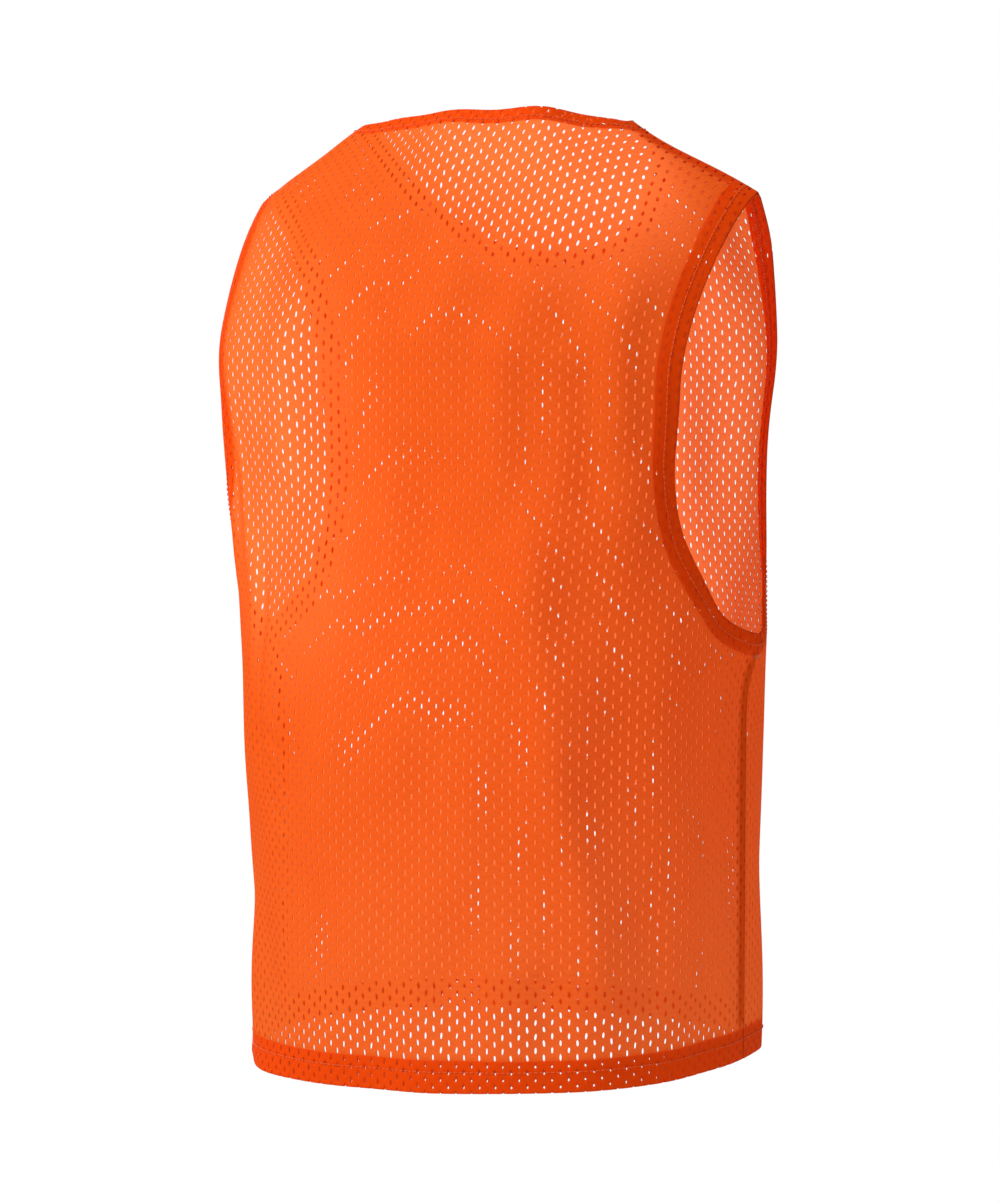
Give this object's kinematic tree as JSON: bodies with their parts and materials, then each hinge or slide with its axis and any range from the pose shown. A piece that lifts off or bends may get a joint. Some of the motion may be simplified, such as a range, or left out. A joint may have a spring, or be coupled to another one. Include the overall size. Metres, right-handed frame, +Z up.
{
  "type": "training vest",
  "caption": "Sleeveless pullover vest of open-hole orange mesh in its worn shape, with turned hems, seams and two sewn-in labels.",
  "frame": {"origin": "midway between the two points where the neck opening meets the shoulder seams, at the height where the vest bears on the wearer's shoulders", "axes": "+X to the wearer's left, +Y to the wearer's back, +Z up"},
  "size_m": [0.4096, 0.3004, 0.6952],
  "materials": {
    "orange_mesh": "open-hole warp-knit polyester mesh, matt with a slight filament glint",
    "doubled_mesh": "the same mesh turned in double, denser and deeper in colour",
    "orange_thread": "textured polyester sewing thread",
    "label_satin": "blank white woven satin tape",
    "label_thread": "white polyester sewing thread"
  },
  "bodies": {
    "vest": {"back_panel": "orange_mesh", "front_panel": "orange_mesh", "bottom_hem_back": "doubled_mesh", "neck_hem_back": "doubled_mesh", "armhole_hem_back_left": "doubled_mesh", "armhole_hem_back_right": "doubled_mesh", "bottom_hem_front": "doubled_mesh", "neck_hem_front": "doubled_mesh", "armhole_hem_front_left": "doubled_mesh", "armhole_hem_front_right": "doubled_mesh", "side_seam_left": "doubled_mesh", "side_overlock_left": "orange_thread", "shoulder_seam_left": "doubled_mesh", "shoulder_overlock_left": "orange_thread", "underarm_tack_left": "orange_thread", "side_seam_right": "doubled_mesh", "side_overlock_right": "orange_thread", "shoulder_seam_right": "doubled_mesh", "shoulder_overlock_right": "orange_thread", "underarm_tack_right": "orange_thread", "bottom_stitching": "orange_thread", "neck_stitching": "orange_thread", "armhole_stitching_left": "orange_thread", "armhole_stitching_right": "orange_thread", "label_stitching": "label_thread"},
    "care_label": {"care_label": "label_satin"},
    "size_label": {"size_label": "label_satin"}
  },
  "joints": [
    {"name": "care_label_flip", "type": "hinge", "parent": "vest", "child": "care_label", "pos_m": [0.1957, 0.004, -0.574], "axis": [0, 0, 1], "range_deg": [-12, 115]},
    {"name": "size_label_flip", "type": "hinge", "parent": "vest", "child": "size_label", "pos_m": [0.1957, 0.004, -0.526], "axis": [0, 0, 1], "range_deg": [-12, 115]}
  ]
}
